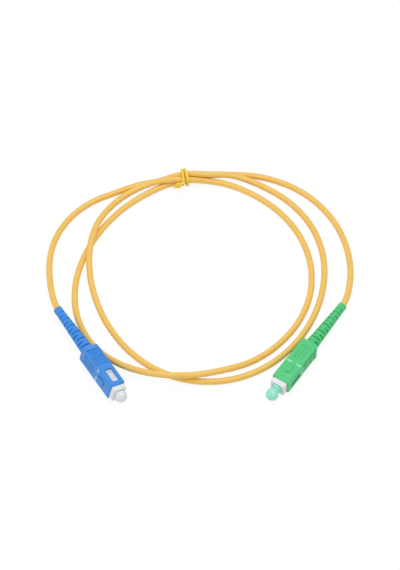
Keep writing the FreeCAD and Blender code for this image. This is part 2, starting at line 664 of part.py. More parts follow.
def make_cord():
    way, jacket_wire = cord_wire(station(JACKET_FRONT))
    whole = jacket_wire.Length
    print("cord: %.1f mm between the boots, %.1f mm of jacket" % (way.Length, whole))
    print("cord: least radius %.1f mm" % least_radius(way))
    gap = least_gap(way, size["jacket_diameter"], APART_DIAMETERS * size["jacket_diameter"])
    print("cord: least gap to itself %.2f mm" % gap)
    jacket = tube(jacket_wire, size["jacket_diameter"], size["jacket_bore"])
    section = pi * (size["jacket_diameter"] ** 2 - size["jacket_bore"] ** 2) / 4
    print("cord: jacket volume %.1f, section by length %.1f" % (jacket.Volume, section * whole))
    yarn = tube(jacket_wire, size["yarn_diameter"], size["yarn_bore"])
    yarn = yarn.fuse([yarn_flare("a"), yarn_flare("b")])
    fibre_front = station(FERRULE_BACK) - size["fibre_room"]
    fibre = swept(cord_wire(fibre_front)[1], size["fibre_diameter"])
    return [add_shape("jacket", jacket), add_shape("aramid_yarn", yarn), add_shape("buffered_fibre", fibre)]


# Tie, by angles in degrees seen along the bundle: 0 is behind it and 90 on top. The ring's corners run
# from the first angle to the last and drift along the bundle, and the twist leaves at the knot's angle.
TIE_FIRST = 128.0
TIE_LAST = -163.0
TIE_CORNERS = 10
TIE_DRIFT = 2.2
TIE_KNOT = 162.0
# Twist: distance of its root from the ring, outwards and along the bundle, its tip, and its corners
TWIST_OUT = 1.9
TWIST_LEFT = 1.6
TWIST_TIP = Vector(-13.4, 55.8, 3.4)
TWIST_STEP = 80.0
TWIST_CORNERS = 5


def tie_route():
    """Corners of the tie: one ring round the bundle, its ends twisted together in front of it."""
    heading = radians(size["bundle_heading"])
    centre = Vector(size["tie_east"], size["tie_north"], size["bundle_height"])
    along = Vector(cos(heading), sin(heading), 0)
    side = Vector(-sin(heading), cos(heading), 0)
    up = Vector(0, 0, 1)
    inner = size["strand_pitch"] / sqrt(3) + size["jacket_diameter"] / 2 + size["tie_gap"]
    middle = inner + size["tie_diameter"] / 2
    step = (TIE_LAST - TIE_FIRST) / (TIE_CORNERS - 1)
    radius = middle / cos(radians(step / 2))
    ring = []
    for k in range(TIE_CORNERS):
        angle = radians(TIE_FIRST + step * k)
        drift = TIE_DRIFT * (k / (TIE_CORNERS - 1) - 0.5)
        ring.append(centre + side * (radius * cos(angle)) + up * (radius * sin(angle)) + along * drift)
    knot = radians(TIE_KNOT)
    outward = side * cos(knot) + up * sin(knot)
    upward = side * sin(knot) - up * cos(knot)
    root = centre + outward * (middle + TWIST_OUT) - along * TWIST_LEFT
    axis = (TWIST_TIP - root).normalize()
    flat = (upward - axis * upward.dot(axis)).normalize()
    other = axis.cross(flat)
    radius = size["tie_twist_radius"] / cos(radians(TWIST_STEP / 2))
    ends = []
    for phase in (0, 180):
        strand = []
        for k in range(TWIST_CORNERS):
            angle = radians(phase + TWIST_STEP * k)
            spot = root + (TWIST_TIP - root) * (k / (TWIST_CORNERS - 1))
            strand.append(spot + flat * (radius * cos(angle)) + other * (radius * sin(angle)))
        ends.append(strand)
    return ends[0][::-1] + ring + ends[1]


def make_tie():
    corners = tie_route()
    wire = smooth_way(corners, [])
    gap = least_gap(wire, size["tie_diameter"], APART_DIAMETERS * size["tie_diameter"])
    print("tie: %.1f mm, least radius %.2f mm, least gap to itself %.2f mm" % (
        wire.Length, least_radius(wire), gap))
    coat = tube(wire, size["tie_diameter"], size["tie_wire_diameter"])
    return [add_shape("twist_tie", coat), add_shape("tie_wire", swept(wire, size["tie_wire_diameter"]))]


# Build
places = {end: lying_place(end) for end in "ab"}
pieces = []
for end in "ab":
    bodies = [make(end) for make in (make_ferrule, make_flange, make_frame, make_grip, make_post,
                                     make_sleeve, make_boot, make_cap)]
    for body in bodies:
        body.Placement = places[end]
    pieces += bodies + [make_spring(end, places[end])]
pieces += make_cord() + make_tie()
doc.recompute()

# Check, then write one file for each piece
for item in doc.Objects:
    if "Invalid" in item.State or "Error" in item.State:
        raise RuntimeError("%s is %s" % (item.Label, item.State))
for piece in pieces:
    if piece.Shape.isNull() or not piece.Shape.isValid() or len(piece.Shape.Solids) != 1:
        raise RuntimeError("%s has no single valid solid" % piece.Label)
os.makedirs("parts", exist_ok=True)
for piece in pieces:
    piece.Shape.exportStep(os.path.join("parts", piece.Label + ".step"))
    print("%s: %.1f cubic mm" % (piece.Label, piece.Shape.Volume))
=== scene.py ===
"""Fiber optic patch cord: the looks of a 3 mm yellow cord that lies in two tied turns, with a square
push-pull connector, strain-relief boot and dust cap at each end. All lengths are in metres."""

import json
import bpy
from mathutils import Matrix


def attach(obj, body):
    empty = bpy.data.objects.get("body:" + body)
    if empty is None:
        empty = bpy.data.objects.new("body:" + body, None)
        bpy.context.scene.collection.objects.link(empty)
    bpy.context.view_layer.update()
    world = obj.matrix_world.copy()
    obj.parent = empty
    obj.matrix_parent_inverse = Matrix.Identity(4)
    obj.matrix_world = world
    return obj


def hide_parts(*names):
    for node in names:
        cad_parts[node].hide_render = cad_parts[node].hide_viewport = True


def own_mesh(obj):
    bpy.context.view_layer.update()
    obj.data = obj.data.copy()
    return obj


bl_info = {
    "name": "Fiber Optic Patch Cord",
    "version": (1, 0, 0),
    "blender": (4, 5, 0),
    "location": "View3D > Sidebar > Patch Cord",
    "description": "Dresses the packed patch cord: its cord, boots, caps, tie, finishes and studio",
    "category": "Object",
}

from math import atan2, cos, pi, radians, sin, sqrt

import bmesh
import bpy
from bpy.props import FloatProperty, FloatVectorProperty, IntProperty, PointerProperty
from mathutils import Matrix, Vector

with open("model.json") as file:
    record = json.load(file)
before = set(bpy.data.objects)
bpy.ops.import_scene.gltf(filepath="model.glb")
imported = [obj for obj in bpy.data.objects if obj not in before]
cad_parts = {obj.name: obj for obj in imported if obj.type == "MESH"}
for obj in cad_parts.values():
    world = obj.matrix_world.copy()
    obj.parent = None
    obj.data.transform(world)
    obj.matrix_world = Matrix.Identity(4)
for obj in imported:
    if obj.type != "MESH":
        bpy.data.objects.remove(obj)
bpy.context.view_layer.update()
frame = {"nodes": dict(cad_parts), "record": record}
MM = 0.001
ENDS = ("a", "b")
SHADE = {"a": "blue", "b": "green"}
MAIN_BODY = "main"
# Points nearer than this are one point
ONE_POINT = 1e-7


# Colours
def srgb(code):
    """Linear colour of an sRGB hex value."""
    shares = [int(code[k:k + 2], 16) / 255 for k in (0, 2, 4)]
    return tuple(s / 12.92 if s <= 0.04045 else ((s + 0.055) / 1.055) ** 2.4 for s in shares)


def with_alpha(colour):
    return (*colour, 1.0)


def colour_setting(label, code, about):
    return FloatVectorProperty(name=label, description=about, default=srgb(code), size=3,
                               subtype="COLOR", min=0.0, max=1.0)


def length_setting(label, millimetres, about):
    return FloatProperty(name=label, description=about, default=millimetres * MM, unit="LENGTH",
                         subtype="DISTANCE", precision=5)


# Settings that a user would change
class CordSettings(bpy.types.PropertyGroup):
    diameter: length_setting("Jacket Diameter", 3.0, "Outer diameter of the cord's jacket")
    length: length_setting("Length", 972.5, "Length of cord between the two boots")
    round_steps: IntProperty(name="Round Steps", description="Steps in a quarter of the jacket's round",
                             default=6, min=1, max=16)
    along_steps: IntProperty(name="Steps Along", description="Steps between two points of the route",
                             default=14, min=2, max=64)


class BootSettings(bpy.types.PropertyGroup):
    length: length_setting("Length", 31.1, "Length of the strain-relief boot")
    bore: length_setting("Bore Radius", 1.62, "Inner radius at the cord")
    tail: length_setting("Tail Radius", 2.05, "Outer radius at the cord end")
    nose: length_setting("Nose Radius", 3.05, "Outer radius at the housing")
    taper: length_setting("Taper Length", 27.4, "Distance over which the boot widens")
    plain_tail: length_setting("Plain Tail", 3.2, "Unslotted length at the cord end")
    slot: length_setting("Slot Width", 0.8, "Width of each part-ring slot")
    pitch: length_setting("Slot Pitch", 2.2, "Distance from one row of slots to the next")
    rows: IntProperty(name="Slot Rows", default=11, min=1, max=24,
                      description="Rows of slots, each turned by a quarter from the last")
    web_angle: FloatProperty(name="Web Angle", description="Angle of each web that bridges a row",
                             default=radians(50.0), unit="ROTATION", subtype="ANGLE")


class CapSettings(bpy.types.PropertyGroup):
    barrel_radius: length_setting("Barrel Radius", 2.6, "Radius of the sleeve over the ferrule")
    barrel: length_setting("Barrel Length", 3.4, "Length of the sleeve over the ferrule")
    neck_radius: length_setting("Neck Radius", 2.05, "Radius of the waist behind the ball")
    ball_radius: length_setting("Ball Radius", 2.9, "Radius of the ball that is gripped")
    length: length_setting("Length", 6.5, "From the open end to the middle of the ball")
    bore_radius: length_setting("Bore Radius", 1.31, "Radius of the hole for the ferrule")
    bore_depth: length_setting("Bore Depth", 7.4, "Depth of the hole for the ferrule")
    reach_a: length_setting("Reach, Blue End", 3.6, "Middle of the ball in front of the blue grip")
    reach_b: length_setting("Reach, Green End", 6.4, "Middle of the ball in front of the green grip")


class TieSettings(bpy.types.PropertyGroup):
    diameter: length_setting("Coat Diameter", 1.45, "Outer diameter of the coated wire")
    core: length_setting("Core Diameter", 0.5, "Diameter of the steel core")
    gap: length_setting("Gap", 0.07, "Gap between the wire and the strands that it holds")


class GripSettings(bpy.types.PropertyGroup):
    corner_round: length_setting("Corner Radius", 1.1, "Radius of the edges round the front face")
    mark_width: length_setting("Mark Width", 0.8, "Width of each printed bar along the grip")


class ColourSettings(bpy.types.PropertyGroup):
    jacket: colour_setting("Jacket", "FBCB62", "Yellow PVC of the cord")
    tie: colour_setting("Tie", "FFD646", "Yellow PVC coat of the tie")
    blue: colour_setting("Blue Housing", "3F97EE", "Moulded housing at end a")
    green: colour_setting("Green Housing", "52D284", "Moulded housing at end b")
    milky: colour_setting("Blue End's Cap", "EEF1FF", "Milky dust cap")
    mint: colour_setting("Green End's Cap", "A9FFE0", "Translucent green dust cap")
    white: colour_setting("Plug Frame", "F4F5F5", "White inner frame")
    mark_blue: colour_setting("Blue Depth Marks", "BFE2FF", "Printed bars on the blue grip")
    mark_green: colour_setting("Green Depth Marks", "A6F7C8", "Printed bars on the green grip")


class StageSettings(bpy.types.PropertyGroup):
    world_light: FloatProperty(name="World Light", description="Strength of the even light all round",
                               default=0.55, min=0.0)
    overhead: FloatProperty(name="Overhead Power", default=1.2, min=0.0,
                            description="Power of the soft light above, in watts")
    side: FloatProperty(name="Side Power", default=0.4, min=0.0,
                        description="Power of the soft light from the left, in watts")
    shadow_share: FloatProperty(name="Shadow Share", description="How much of the floor's shadow shows",
                                default=0.16, min=0.0, max=1.0, subtype="FACTOR")


SETTINGS = {"patch_cord": CordSettings, "patch_boot": BootSettings, "patch_cap": CapSettings,
            "patch_tie": TieSettings, "patch_grip": GripSettings, "patch_colours": ColourSettings,
            "patch_stage": StageSettings}


def settings(name):
    return getattr(bpy.context.scene, name)


# Where the connectors lie: the record's plug mounts stand on each axis, ahead of the grip's front face
FRAME_REACH = 2.3 * MM
BOOT_END = 52.6 * MM
JACKET_FRONT = 26.4 * MM
ROLL = {"a": radians(73.0), "b": 0.0}
MOUNTS = {mount["name"]: mount for mount in frame["record"]["mounts"]}


def plug_axis(end):
    return Vector(MOUNTS["plug_" + end]["axis"]).normalized()


def on_axis(end, along):
    """Point on a connector's axis, ahead of the front face of its grip."""
    return Vector(MOUNTS["plug_" + end]["pos_m"]) + plug_axis(end) * (along - FRAME_REACH)


def lying_place(end):
    """Matrix from a connector's own axes, +X to the ferrule tip and +Z to the key, to the frame."""
    axis = plug_axis(end)
    heading = Matrix.Rotation(atan2(axis.y, axis.x), 4, "Z")
    return Matrix.Translation(on_axis(end, 0.0)) @ heading @ Matrix.Rotation(ROLL[end], 4, "X")


# Nodes
def add_node(tree, kind, inputs=None, **attributes):
    """Add a node, set its attributes, and fill or link its inputs."""
    node = tree.nodes.new(kind)
    for name, value in attributes.items():
        setattr(node, name, value)
    for name, value in (inputs or {}).items():
        if isinstance(value, bpy.types.NodeSocket):
            tree.links.new(value, node.inputs[name])
        else:
            node.inputs[name].default_value = value
    return node


def result_of(tree, kind, inputs=None, **attributes):
    """Add a node in the same way, and give its first output."""
    return add_node(tree, kind, inputs, **attributes).outputs[0]


def maths(tree, operation, first, second):
    return result_of(tree, "ShaderNodeMath", {0: first, 1: second}, operation=operation)


def ranged(tree, value, low, high, start=0.0, end=1.0):
    """Value that goes from low to high while the given one goes from start to end."""
    return result_of(tree, "ShaderNodeMapRange", {"Value": value, "From Min": start, "From Max": end,
                                                  "To Min": low, "To Max": high})


# Materials, with the usual refractive index of each
PBT_IOR = 1.54
PVC_IOR = 1.53
POLYETHYLENE_IOR = 1.51
ZIRCONIA_IOR = 2.1
EDGE_SAMPLES = 6
NOISE_RANGE = (0.3, 0.7)
EVEN_DEPTH = (1.0, 1.0, 1.0)


def emptied(holder):
    """Node tree of a material or a world, with nothing in it."""
    holder.use_nodes = True
    holder.node_tree.nodes.clear()
    return holder.node_tree


def new_material(name):
    """Tree of a new material, and its object coordinates."""
    tree = emptied(bpy.data.materials.new(name))
    return tree, add_node(tree, "ShaderNodeTexCoord").outputs["Object"]


def finish_surface(tree, values):
    """Give a material its Principled surface, with plain values and links."""
    surface = result_of(tree, "ShaderNodeBsdfPrincipled", values)
    add_node(tree, "ShaderNodeOutputMaterial", {"Surface": surface})


def noise(tree, place, size, detail):
    """Noise whose patches have a given size."""
    return result_of(tree, "ShaderNodeTexNoise", {"Vector": place, "Scale": 1 / size, "Detail": detail})


def mottled(tree, place, colour, darker, patch):
    """Colour that drifts a little darker in patches of a given size."""
    share = noise(tree, place, patch, detail=3.0)
    deep = tuple(channel * darker for channel in colour)
    return result_of(tree, "ShaderNodeMixRGB", {"Fac": share, "Color1": with_alpha(colour),
                                                "Color2": with_alpha(deep)})


def varied_roughness(tree, place, low, high, patch):
    """Roughness that drifts from low to high in patches of a given size."""
    return ranged(tree, noise(tree, place, patch, detail=2.0), low, high, *NOISE_RANGE)


def moulded(name, colour, roughness, grain, grain_height, edge, soft=0.0):
    """Injection-moulded plastic: even colour, fine tool texture and small rounded edges."""
    # The mould's own grain is finer than this, and is drawn as coarse as it needs to show from close up
    tree, place = new_material(name)
    rounded = result_of(tree, "ShaderNodeBevel", {"Radius": edge}, samples=EDGE_SAMPLES)
    texture = noise(tree, place, grain, detail=2.0)
    bump = result_of(tree, "ShaderNodeBump", {"Height": texture, "Distance": grain_height,
                                              "Strength": 0.35, "Normal": rounded})
    values = {"Base Color": mottled(tree, place, colour, darker=0.93, patch=4 * MM),
              "Roughness": varied_roughness(tree, place, low=roughness - 0.05, high=roughness + 0.07,
                                            patch=2.5 * MM),
              "Normal": bump, "IOR": PBT_IOR, "Specular IOR Level": 0.35}
    if soft:
        values.update({"Subsurface Weight": soft, "Subsurface Radius": EVEN_DEPTH,
                       "Subsurface Scale": 0.8 * MM})
    finish_surface(tree, values)


def extruded_pvc(name, colour):
    """Plasticised PVC, extruded: smooth and satin, with slow drifts of gloss along the cord."""
    tree, place = new_material(name)
    bump = result_of(tree, "ShaderNodeBump", {"Height": noise(tree, place, 1.3 * MM, detail=3.0),
                                              "Distance": 0.015 * MM, "Strength": 0.25})
    finish_surface(tree, {
        "Base Color": mottled(tree, place, colour, darker=0.98, patch=9 * MM),
        "Roughness": varied_roughness(tree, place, low=0.3, high=0.42, patch=6 * MM),
        "Normal": bump, "IOR": PVC_IOR, "Subsurface Weight": 0.2, "Subsurface Radius": (1.0, 0.6, 0.2),
        "Subsurface Scale": 0.7 * MM})


def translucent_polyethylene(name, colour, clear):
    """Low-density polyethylene: waxy, milky, and lighter where it is thin."""
    tree, place = new_material(name)
    finish_surface(tree, {
        "Base Color": mottled(tree, place, colour, darker=0.98, patch=3 * MM),
        "Roughness": varied_roughness(tree, place, low=0.26, high=0.38, patch=2 * MM),
        "IOR": POLYETHYLENE_IOR, "Subsurface Weight": 0.7, "Subsurface Radius": EVEN_DEPTH,
        "Subsurface Scale": 1.6 * MM, "Transmission Weight": clear})


def zirconia(name, colour):
    """Sintered and polished zirconia: dense off-white ceramic with a hard gloss."""
    tree, place = new_material(name)
    finish_surface(tree, {"Base Color": mottled(tree, place, colour, darker=0.97, patch=1 * MM),
                          "Roughness": 0.12, "IOR": ZIRCONIA_IOR})


def turned_metal(name, colour, roughness, pitch):
    """Turned or drawn metal: bright, with the fine unevenness that its tool leaves."""
    tree, place = new_material(name)
    lines = noise(tree, place, pitch, detail=3.0)
    rough = ranged(tree, lines, roughness, roughness + 0.15)
    bump = result_of(tree, "ShaderNodeBump", {"Height": lines, "Distance": 0.01 * MM, "Strength": 0.5})
    finish_surface(tree, {"Base Color": mottled(tree, place, colour, darker=0.9, patch=1.5 * MM),
                          "Metallic": 1.0, "Roughness": rough, "Normal": bump})


def make_finishes():
    """Make every material of the object."""
    colours = settings("patch_colours")
    extruded_pvc("extruded_pvc_yellow", colours.jacket)
    extruded_pvc("coated_wire_pvc", colours.tie)
    translucent_polyethylene("polyethylene_milky", colours.milky, clear=0.04)
    translucent_polyethylene("polyethylene_green", colours.mint, clear=0.06)
    moulded("moulded_pbt_white", colours.white, roughness=0.38, grain=0.12 * MM, grain_height=0.01 * MM,
            edge=0.12 * MM, soft=0.15)
    zirconia("polished_zirconia", srgb("F3F0E8"))
    turned_metal("nickel_plated_brass", srgb("C9C6BE"), roughness=0.22, pitch=0.05 * MM)
    turned_metal("stainless_spring_wire", srgb("A9A9AB"), roughness=0.28, pitch=0.08 * MM)
    turned_metal("annealed_crimp_sleeve", srgb("BDBEC0"), roughness=0.35, pitch=0.12 * MM)
    turned_metal("soft_iron_tie_wire", srgb("8E8F92"), roughness=0.4, pitch=0.1 * MM)
    for shade in SHADE.values():
        colour = getattr(colours, shade)
        moulded("moulded_pbt_" + shade, colour, roughness=0.36, grain=0.16 * MM,
                grain_height=0.014 * MM, edge=0.16 * MM)
        moulded("soft_elastomer_" + shade, colour, roughness=0.5, grain=0.2 * MM,
                grain_height=0.02 * MM, edge=0.1 * MM, soft=0.1)
        moulded("printed_ink_" + shade, getattr(colours, "mark_" + shade), roughness=0.55,
                grain=0.1 * MM, grain_height=0.01 * MM, edge=0.03 * MM)


def finish_of(name):
    return bpy.data.materials[name]


# Pieces
def place_piece(piece, body, replaced=()):
    """Give a finished piece its body, and let it stand for its nodes."""
    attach(piece, body)
    if replaced:
        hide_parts(*replaced)
    return piece


def new_object(name, data):
    """Object in the scene, at the origin."""
    made = bpy.data.objects.new(name, data)
    bpy.context.scene.collection.objects.link(made)
    return made


def mesh_piece(name, mesh, material):
    mesh.materials.clear()
    mesh.materials.append(material)
    return new_object(name, mesh)


def shell_piece(name, shell, place, material, smooth=True):
    """Piece of a finished shell, put in its place."""
    for face in shell.faces:
        face.smooth = smooth
    mesh = bpy.data.meshes.new(name)
    shell.to_mesh(mesh)
    shell.free()
    mesh.transform(place)
    return mesh_piece(name, mesh, material)


def settled_mesh(source):
    """What an object's curve or modifiers make, as a plain mesh."""
    depsgraph = bpy.context.evaluated_depsgraph_get()
    return bpy.data.meshes.new_from_object(source.evaluated_get(depsgraph))


def revolved(name, profile, steps, place, material):
    """Closed surface of a profile of (along X, radius) turned round the X axis, in its place."""
    shell = bmesh.new()
    rings = []
    for along, radius in profile:
        if radius < ONE_POINT:
            rings.append([shell.verts.new((along, 0.0, 0.0))])
        else:
            rings.append([shell.verts.new((along, radius * cos(2 * pi * k / steps),
                                           radius * sin(2 * pi * k / steps))) for k in range(steps)])
    for first, second in zip(rings, rings[1:] + rings[:1]):
        for k in range(steps):
            near, far = k % len(first), (k + 1) % len(first)
            corners = [first[near], first[far], second[(k + 1) % len(second)], second[k % len(second)]]
            unique = list(dict.fromkeys(corners))
            if len(unique) > 2:
                shell.faces.new(unique)
    bmesh.ops.recalc_face_normals(shell, faces=shell.faces)
    return shell_piece(name, shell, place, material)


def corner_arc(centre, radius, start, end, steps):
    """Points of a round corner in a profile, from one heading to another in degrees."""
    headings = [radians(start + (end - start) * k / steps) for k in range(steps + 1)]
    return [(centre[0] + radius * cos(turn), centre[1] + radius * sin(turn)) for turn in headings]


def baked(name, source, tree, values, place, material):
    """Run a geometry tree on an object, and keep the result as a plain mesh piece in its place."""
    modifier = source.modifiers.new(tree.name, "NODES")
    modifier.node_group = tree
    for item in tree.interface.items_tree:
        if item.item_type == "SOCKET" and item.in_out == "INPUT" and item.name in values:
            modifier[item.identifier] = values[item.name]
    source.update_tag()
    mesh = settled_mesh(source)
    source.modifiers.remove(modifier)
    bpy.data.objects.remove(source)
    mesh.name = name
    mesh.transform(place)
    return mesh_piece(name, mesh, material)


def new_tree(name, inputs):
    """Geometry tree with named inputs, each with its kind of socket."""
    tree = bpy.data.node_groups.new(name, "GeometryNodeTree")
    tree.interface.new_socket("Geometry", in_out="INPUT", socket_type="NodeSocketGeometry")
    for label, kind in inputs.items():
        tree.interface.new_socket(label, in_out="INPUT", socket_type=kind)
    tree.interface.new_socket("Geometry", in_out="OUTPUT", socket_type="NodeSocketGeometry")
    return tree, add_node(tree, "NodeGroupInput").outputs


# The cord's route, in millimetres. The tails are listed, from each boot to the tie, and the two
# turns lie on ovals, run clockwise and rise over the strand that they cross.
TAIL_A = [(-67.1, -12.8, 5.2), (-68.4, -7.9, 5.0), (-69.7, -1.0, 4.6), (-70.7, 8.4, 3.4),
          (-70.3, 20.4, 2.2), (-66.8, 32.4, 1.6), (-59.9, 42.8, 1.5), (-51.3, 50.1, 1.5),
          (-40.7, 55.1, 1.5), (-30.1, 59.9, 1.6)]
TAIL_B = [(15.4, 66.4, 1.5), (27.9, 65.5, 1.5), (40.9, 61.0, 1.5), (53.3, 52.5, 1.5), (63.2, 39.7, 1.5),
          (68.4, 26.7, 1.7), (70.5, 13.9, 2.4), (70.3, 3.4, 3.3), (69.1, -4.5, 3.6), (67.6, -9.8, 3.7)]
OUTER_TURN_START = (15.5, 64.1, 4.5)
OUTER_TURN_END = (-29.8, 56.6, 3.5)
INNER_TURN_START = (15.2, 59.9, 1.6)
# Along the bundle from the tie, how far the three strands have turned about each other, and how high
# the middle of the bundle is. The strands start from these places round the bundle.
GATHER = [(-12.5, 0.0, 3.45), (-5.0, 42.0, 4.75), (3.0, 84.0, 4.85), (10.5, 124.0, 3.7)]
STRAND_PLACES = (-30.0, 90.0, 210.0)
GATHER_SHARE = 0.93
STRAND_PITCH = 3.1
TIE_MIDDLE = (-7.0, 61.6)
BUNDLE_HEADING = radians(9.0)
# Each turn: centre and mean radius, how far it is drawn out to two opposite sides and to three, each
# with a heading, the first and last heading of its points from the centre, and where it lies over the
# other strand, by the heading in the middle and the number of steps to either side that are level
OUTER_TURN = {"centre": (3.08, 7.6), "mean": 57.56, "oval": (2.79, -81.0), "egg": (1.42, 26.5),
              "first": 63.0, "last": -224.0, "over": -200.0, "level": 0.8}
INNER_TURN = {"centre": (-3.22, 3.34), "mean": 55.79, "oval": (2.68, 54.4), "egg": (1.04, -20.6),
              "first": 55.5, "last": -238.0, "over": -97.0, "level": 1.2}
TURN_STEPS = 18
FLOOR_HEIGHT = 1.5
HUMP_HEIGHT = 5.05
# Sides of the plain round stretch of jacket inside each boot
STUB_STEPS = 32


def turn_points(centre, mean, oval, egg, first, last, over, level):
    """Points of one turn, just outside its curve, with a hump over the strand that it crosses."""
    step = (last - first) / TURN_STEPS
    outside = 1 / cos(radians(step / 2))
    points = []
    for k in range(TURN_STEPS + 1):
        heading = first + step * k
        two_sided = oval[0] * cos(radians(2 * (heading - oval[1])))
        three_sided = egg[0] * cos(radians(3 * (heading - egg[1])))
        radius = outside * (mean + two_sided + three_sided)
        lifted = max(0.0, min(1.0, level + 1 - abs((heading - over) / step)))
        points.append((centre[0] + radius * cos(radians(heading)),
                       centre[1] + radius * sin(radians(heading)),
                       FLOOR_HEIGHT + (HUMP_HEIGHT - FLOOR_HEIGHT) * lifted))
    return points


def gathered(first_place):
    """Points of one strand through the tie, where the three strands turn about each other."""
    reach = STRAND_PITCH / sqrt(3) / GATHER_SHARE
    points = []
    for along, turned, height in GATHER:
        side = reach * cos(radians(first_place + turned))
        rise = reach * sin(radians(first_place + turned))
        points.append((TIE_MIDDLE[0] + along * cos(BUNDLE_HEADING) - side * sin(BUNDLE_HEADING),
                       TIE_MIDDLE[1] + along * sin(BUNDLE_HEADING) + side * cos(BUNDLE_HEADING),
                       height + rise))
    return points


def cord_route():
    """Points of the cord from boot to boot, in metres."""
    first, second, third = [gathered(place) for place in STRAND_PLACES]
    chosen = TAIL_A + first + [OUTER_TURN_START] + turn_points(**OUTER_TURN)
    chosen += [OUTER_TURN_END] + second + [INNER_TURN_START] + turn_points(**INNER_TURN)
    chosen += third + TAIL_B
    between = [Vector(point) * MM for point in chosen]
    return [on_axis("a", -BOOT_END)] + between + [on_axis("b", -BOOT_END)]


def smooth_curve(name, points, radius, round_steps, along_steps, material):
    """Tube on one open NURBS spline whose control points are the given points."""
    curve = bpy.data.curves.new(name, "CURVE")
    curve.dimensions = "3D"
    curve.bevel_depth = radius
    curve.bevel_resolution = round_steps
    curve.use_fill_caps = True
    spline = curve.splines.new("NURBS")
    spline.points.add(len(points) - 1)
    for control, point in zip(spline.points, points):
        control.co = (*point, 1.0)
    spline.order_u = 3
    spline.use_endpoint_u = True
    spline.resolution_u = along_steps
    curve.materials.append(material)
    return new_object(name, curve)


class PATCHCORD_OT_cord(bpy.types.Operator):
    """Lay the cord along its route, with the jacket that shows inside each boot's slots"""

    bl_idname = "patch_cord.make_cord"
    bl_label = "Lay Cord"

    def execute(self, context):
        sizes = settings("patch_cord")
        jacket = finish_of("extruded_pvc_yellow")
        cord = smooth_curve("yellow_cord", cord_route(), sizes.diameter / 2, sizes.round_steps,
                            sizes.along_steps, jacket)
        place_piece(cord, MAIN_BODY, ["jacket", "aramid_yarn", "buffered_fibre"])
        radius = sizes.diameter / 2
        profile = [(-BOOT_END, 0.0), (-BOOT_END, radius), (-JACKET_FRONT, radius), (-JACKET_FRONT, 0.0)]
        for end in ENDS:
            stub = revolved("jacket_in_boot_" + end, profile, STUB_STEPS, lying_place(end), jacket)
            place_piece(stub, MAIN_BODY)
        return {"FINISHED"}


def declare_cord():
    """Read the cord's settings; nothing is stated from them."""
    sizes = settings("patch_cord")


# Strain-relief boot. Before the taper, the wall of each ring and web runs from radius 1 to radius 2.
WALL_MIDDLE = 1.5
PROFILE_ROUND = 0.22 * MM
PROFILE_STEPS = 4
RING_STEPS = 56
WEB_STEPS = 10
WEB_OVERLAP = 2 * PROFILE_ROUND
LINER_SHARE = 0.25
BOOT_SIZES = ("Pitch", "Slot", "Plain Tail", "Length", "Taper", "Bore", "Tail", "Nose", "Web Angle")
BOOT_INPUTS = {"Rows": "NodeSocketInt", **dict.fromkeys(BOOT_SIZES, "NodeSocketFloat"),
               "Material": "NodeSocketMaterial"}
# What the boot's tree works out: the name of each value, its operation and its two terms. x, y and
# outer are a point's place and the boot's outer radius there, and row counts the rows of webs.
BOOT_SUMS = [
    ("gaps", "SUBTRACT", "Rows", 1.0),
    ("slotted", "MULTIPLY", "gaps", "Pitch"),
    ("last slot", "ADD", "Plain Tail", "slotted"),
    ("nose start", "ADD", "last slot", "Slot"),
    ("liner start", "SUBTRACT", "Plain Tail", "Slot"),
    ("liner end", "ADD", "last slot", "Pitch"),
    ("ring start", "ADD", "Plain Tail", "Slot"),
    ("ring width", "SUBTRACT", "Pitch", "Slot"),
    ("web width", "ADD", "Slot", 2 * WEB_OVERLAP),
    ("half slot", "MULTIPLY", "Slot", 0.5),
    ("web place", "ADD", "Plain Tail", "half slot"),
    ("half web", "MULTIPLY", "Web Angle", 0.5),
    ("near web", "SUBTRACT", 0.0, "half web"),
    ("far web", "SUBTRACT", pi, "half web"),
    ("odd row", "MODULO", "row", 2.0),
    ("row turn", "MULTIPLY", "odd row", pi / 2),
    ("x squared", "POWER", "x", 2.0),
    ("y squared", "POWER", "y", 2.0),
    ("radius squared", "ADD", "x squared", "y squared"),
    ("radius", "SQRT", "radius squared", 0.0),
    ("wall", "SUBTRACT", "outer", "Bore"),
    ("wall share", "SUBTRACT", "radius", 1.0),
    ("depth", "MULTIPLY", "wall", "wall share"),
    ("tapered radius", "ADD", "Bore", "depth"),
    ("shrink", "DIVIDE", "tapered radius", "radius"),
    ("tapered x", "MULTIPLY", "x", "shrink"),
    ("tapered y", "MULTIPLY", "y", "shrink"),
]


